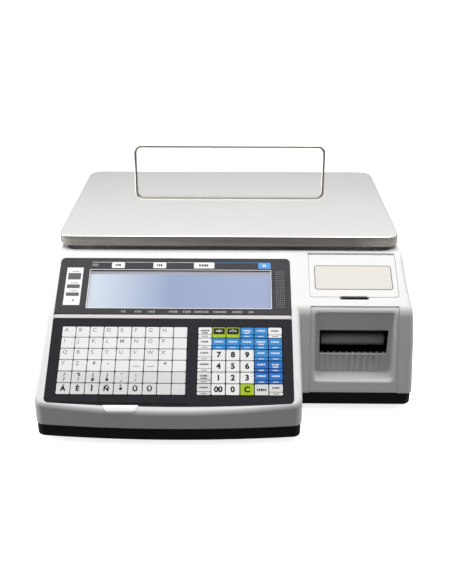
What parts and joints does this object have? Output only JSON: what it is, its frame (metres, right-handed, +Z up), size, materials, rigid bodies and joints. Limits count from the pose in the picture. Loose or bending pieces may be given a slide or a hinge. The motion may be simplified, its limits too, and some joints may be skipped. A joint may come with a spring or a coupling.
{
  "type": "label printing scale",
  "caption": "Counter scale with a stainless platter and wire guard, a sloping display and keypad, and a label printer at its right side.",
  "frame": {"origin": "on the bench, under the middle of the whole machine's outline", "axes": "+X to the operator's right, +Y towards the rear, +Z up"},
  "size_m": [0.396, 0.4346, 0.2025],
  "materials": {
    "case": "satin white moulded ABS with a fine spark texture",
    "base": "black moulded plastic with a fine texture",
    "panel": "printed dark grey polycarbonate overlay",
    "keypad": "printed near-black overlay",
    "trim": "cream satin trim",
    "key_white": "white embossed key film",
    "key_lime": "lime green embossed key film",
    "stainless": "polished stainless steel sheet and wire",
    "steel": "zinc-plated sheet steel",
    "aluminium": "cast or milled aluminium",
    "rubber": "matt black rubber",
    "window": "clear display window",
    "lcd": "liquid crystal display with a pale blue backlight",
    "board": "green printed circuit board",
    "paper": "wound self-adhesive label paper",
    "grey_plastic": "grey moulded acetal",
    "lever": "blue moulded plastic",
    "smoke_window": "dark tinted display window",
    "level": "green spirit level vial"
  },
  "bodies": {
    "housing": {"base_tray": "base", "top_case": "case", "display_panel": "panel", "display_window": "window", "lcd_module": "lcd", "trim_strip": "trim", "keypad_overlay": "keypad", "letter_keys": "key_white", "command_keys": "key_white", "keypad_board": "board", "main_board": "board", "power_supply": "steel", "power_inlet": "base", "load_cell": "aluminium", "load_cell_mount": "aluminium", "spirit_level": "level", "cover_hinge_pin": "steel", "rear_window": "smoke_window", "rear_lcd_module": "lcd", "port_plate": "steel"},
    "load_carrier": {"load_cell_post": "aluminium", "platter_support": "aluminium", "cushion_front_left": "rubber", "cushion_front_right": "rubber", "cushion_rear_left": "rubber", "cushion_rear_right": "rubber"},
    "weighing_platter": {"platter": "stainless"},
    "goods_guard": {"wire_guard": "stainless"},
    "printer_cover": {"label_cover": "case", "cover_badge": "trim"},
    "printer_cassette": {"printer_fascia": "case", "printer_chassis": "steel", "stepper_motor": "steel"},
    "print_head": {"thermal_head": "aluminium"},
    "head_release": {"head_lever": "lever"},
    "platen": {"platen_roller": "rubber", "platen_gear": "grey_plastic"},
    "idler": {"idler_gear": "grey_plastic"},
    "pinion": {"motor_pinion": "grey_plastic"},
    "label_supply": {"label_roll": "paper", "supply_hub": "grey_plastic"},
    "backing_rewinder": {"rewind_spool": "grey_plastic"},
    "mains_rocker": {"power_rocker": "grey_plastic"},
    "number_7": {"key_7": "key_white"},
    "number_8": {"key_8": "key_white"},
    "number_9": {"key_9": "key_white"},
    "number_4": {"key_4": "key_white"},
    "number_5": {"key_5": "key_white"},
    "number_6": {"key_6": "key_white"},
    "number_1": {"key_1": "key_white"},
    "number_2": {"key_2": "key_white"},
    "number_3": {"key_3": "key_white"},
    "double_zero": {"key_00": "key_white"},
    "number_0": {"key_0": "key_white"},
    "clear": {"key_clear": "key_lime"},
    "print": {"key_print": "key_white"},
    "front_left_foot": {"foot_front_left": "rubber"},
    "front_right_foot": {"foot_front_right": "rubber"},
    "rear_right_foot": {"foot_rear_right": "rubber"},
    "rear_left_foot": {"foot_rear_left": "rubber"}
  },
  "joints": [
    {"name": "weighing_deflection", "type": "slide", "parent": "housing", "child": "load_carrier", "axis": [0, 0, -1], "range_m": [0, 0.0004], "stiffness_N_per_m": 250000, "springref_m": -0.0002},
    {"name": "platter_lift_off", "type": "slide", "parent": "load_carrier", "child": "weighing_platter", "axis": [0, 0, 1], "range_m": [0, 0.06]},
    {"name": "guard_lift_out", "type": "slide", "parent": "weighing_platter", "child": "goods_guard", "axis": [0, 0, 1], "range_m": [0, 0.03]},
    {"name": "cover_hinge", "type": "hinge", "parent": "housing", "child": "printer_cover", "pos_m": [0.13445, -0.05639, 0.1438], "axis": [-1, 0, 0], "range_deg": [0, 110]},
    {"name": "cassette_slide", "type": "slide", "parent": "housing", "child": "printer_cassette", "axis": [0, -1, 0], "range_m": [0, 0.12]},
    {"name": "head_release_turn", "type": "hinge", "parent": "printer_cassette", "child": "head_release", "pos_m": [0.134, -0.1, 0.096], "axis": [-1, 0, 0], "range_deg": [0, 35]},
    {"name": "head_tilt", "type": "hinge", "parent": "printer_cassette", "child": "print_head", "pos_m": [0.134, -0.084, 0.092], "axis": [-1, 0, 0], "range_deg": [0, 5]},
    {"name": "platen_spin", "type": "hinge", "parent": "printer_cassette", "child": "platen", "pos_m": [0.134, -0.104, 0.068], "axis": [1, 0, 0], "continuous": true},
    {"name": "idler_spin", "type": "hinge", "parent": "printer_cassette", "child": "idler", "pos_m": [0.1765, -0.08832, 0.05895], "axis": [1, 0, 0], "continuous": true},
    {"name": "pinion_spin", "type": "hinge", "parent": "printer_cassette", "child": "pinion", "pos_m": [0.1765, -0.08493, 0.0463], "axis": [1, 0, 0], "continuous": true},
    {"name": "supply_spin", "type": "hinge", "parent": "printer_cassette", "child": "label_supply", "pos_m": [0.133, -0.038, 0.068], "axis": [1, 0, 0], "continuous": true},
    {"name": "rewind_spin", "type": "hinge", "parent": "printer_cassette", "child": "backing_rewinder", "pos_m": [0.133, 0.02, 0.05], "axis": [1, 0, 0], "continuous": true},
    {"name": "mains_rocker_turn", "type": "hinge", "parent": "housing", "child": "mains_rocker", "pos_m": [-0.134, 0.2133, 0.046], "axis": [1, 0, 0], "range_deg": [0, 20]},
    {"name": "key_7_press", "type": "slide", "parent": "housing", "child": "number_7", "axis": [0, 0.5835, -0.8121], "range_m": [0, 0.0005], "stiffness_N_per_m": 800},
    {"name": "key_8_press", "type": "slide", "parent": "housing", "child": "number_8", "axis": [0, 0.5835, -0.8121], "range_m": [0, 0.0005], "stiffness_N_per_m": 800},
    {"name": "key_9_press", "type": "slide", "parent": "housing", "child": "number_9", "axis": [0, 0.5835, -0.8121], "range_m": [0, 0.0005], "stiffness_N_per_m": 800},
    {"name": "key_4_press", "type": "slide", "parent": "housing", "child": "number_4", "axis": [0, 0.5835, -0.8121], "range_m": [0, 0.0005], "stiffness_N_per_m": 800},
    {"name": "key_5_press", "type": "slide", "parent": "housing", "child": "number_5", "axis": [0, 0.5835, -0.8121], "range_m": [0, 0.0005], "stiffness_N_per_m": 800},
    {"name": "key_6_press", "type": "slide", "parent": "housing", "child": "number_6", "axis": [0, 0.5835, -0.8121], "range_m": [0, 0.0005], "stiffness_N_per_m": 800},
    {"name": "key_1_press", "type": "slide", "parent": "housing", "child": "number_1", "axis": [0, 0.5835, -0.8121], "range_m": [0, 0.0005], "stiffness_N_per_m": 800},
    {"name": "key_2_press", "type": "slide", "parent": "housing", "child": "number_2", "axis": [0, 0.5835, -0.8121], "range_m": [0, 0.0005], "stiffness_N_per_m": 800},
    {"name": "key_3_press", "type": "slide", "parent": "housing", "child": "number_3", "axis": [0, 0.5835, -0.8121], "range_m": [0, 0.0005], "stiffness_N_per_m": 800},
    {"name": "key_00_press", "type": "slide", "parent": "housing", "child": "double_zero", "axis": [0, 0.5835, -0.8121], "range_m": [0, 0.0005], "stiffness_N_per_m": 800},
    {"name": "key_0_press", "type": "slide", "parent": "housing", "child": "number_0", "axis": [0, 0.5835, -0.8121], "range_m": [0, 0.0005], "stiffness_N_per_m": 800},
    {"name": "key_clear_press", "type": "slide", "parent": "housing", "child": "clear", "axis": [0, 0.5835, -0.8121], "range_m": [0, 0.0005], "stiffness_N_per_m": 800},
    {"name": "key_print_press", "type": "slide", "parent": "housing", "child": "print", "axis": [0, 0.5835, -0.8121], "range_m": [0, 0.0005], "stiffness_N_per_m": 800},
    {"name": "foot_front_left_turn", "type": "hinge", "parent": "housing", "child": "front_left_foot", "pos_m": [-0.168, -0.178, 0], "axis": [0, 0, 1], "continuous": true},
    {"name": "foot_front_right_turn", "type": "hinge", "parent": "housing", "child": "front_right_foot", "pos_m": [0.15, -0.12, 0], "axis": [0, 0, 1], "continuous": true},
    {"name": "foot_rear_right_turn", "type": "hinge", "parent": "housing", "child": "rear_right_foot", "pos_m": [0.168, 0.185, 0], "axis": [0, 0, 1], "continuous": true},
    {"name": "foot_rear_left_turn", "type": "hinge", "parent": "housing", "child": "rear_left_foot", "pos_m": [-0.168, 0.185, 0], "axis": [0, 0, 1], "continuous": true}
  ],
  "couplings": [
    {"joint": "head_tilt", "follows": "head_release_turn", "ratio": 0.14286},
    {"joint": "idler_spin", "follows": "platen_spin", "ratio": -1.25},
    {"joint": "pinion_spin", "follows": "platen_spin", "ratio": 2}
  ]
}
